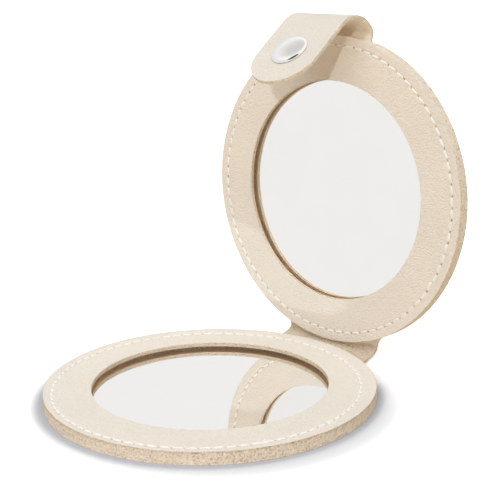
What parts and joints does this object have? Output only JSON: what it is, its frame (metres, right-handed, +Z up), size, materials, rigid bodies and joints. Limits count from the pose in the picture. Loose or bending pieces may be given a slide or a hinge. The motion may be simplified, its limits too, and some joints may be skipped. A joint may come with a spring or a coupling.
{
  "type": "compact mirror",
  "caption": "Round folding leather compact mirror: base and lid with stitched rings round their mirrors, joined by a creased spine and shut by a strap with a magnetic domed cap.",
  "frame": {"origin": "centre of the base's flat back, which lies on the table", "axes": "+Z up out of the base's mirror, +Y toward the spine and the standing lid, +X along the creases"},
  "size_m": [0.078, 0.0878, 0.0859],
  "materials": {
    "cover_leather": "cream bonded leather with a fine pebble grain, cut edges left raw",
    "ring_leather": "cream bonded leather with a fine pebble grain, cut edges left raw",
    "leather_board": "bonded leather board, raw cut edge",
    "mirror": "clear glass silvered on the back",
    "tape": "double-sided adhesive film",
    "thread": "off-white twisted polyester thread",
    "cap_chrome": "polished plating",
    "nickelled_steel": "nickel-plated sheet steel",
    "magnet": "plated neodymium ring"
  },
  "bodies": {
    "base": {"base_cover": "cover_leather", "base_spacer": "leather_board", "base_tape": "tape", "base_mirror": "mirror", "base_ring": "ring_leather", "base_needle_thread": "thread", "base_bobbin_thread": "thread", "keeper_plate": "nickelled_steel"},
    "spine": {"spine": "cover_leather"},
    "lid": {"lid_cover": "cover_leather", "lid_spacer": "leather_board", "lid_tape": "tape", "lid_mirror": "mirror", "lid_ring": "ring_leather", "lid_needle_thread": "thread", "lid_bobbin_thread": "thread"},
    "strap_bend": {"strap_bend": "cover_leather"},
    "strap_tip": {"strap_tongue": "cover_leather", "snap_cap": "cap_chrome", "cap_rivet": "nickelled_steel", "magnet_cup": "nickelled_steel", "magnet": "magnet"}
  },
  "joints": [
    {"name": "base_crease", "type": "hinge", "parent": "base", "child": "spine", "pos_m": [0, 0.0395, 0.00055], "axis": [1, 0, 0], "range_deg": [-12.5, 70.5]},
    {"name": "lid_crease", "type": "hinge", "parent": "spine", "child": "lid", "pos_m": [0, 0.04487, 0.00174], "axis": [1, 0, 0], "range_deg": [-75.7, 21.3]},
    {"name": "strap_root", "type": "hinge", "parent": "lid", "child": "strap_bend", "pos_m": [0, 0.04731, 0.07935], "axis": [1, 0, 0], "range_deg": [-60, 0]},
    {"name": "strap_curl", "type": "hinge", "parent": "strap_bend", "child": "strap_tip", "pos_m": [0, 0.03989, 0.08519], "axis": [1, 0, 0], "range_deg": [-45, 51.3]}
  ]
}
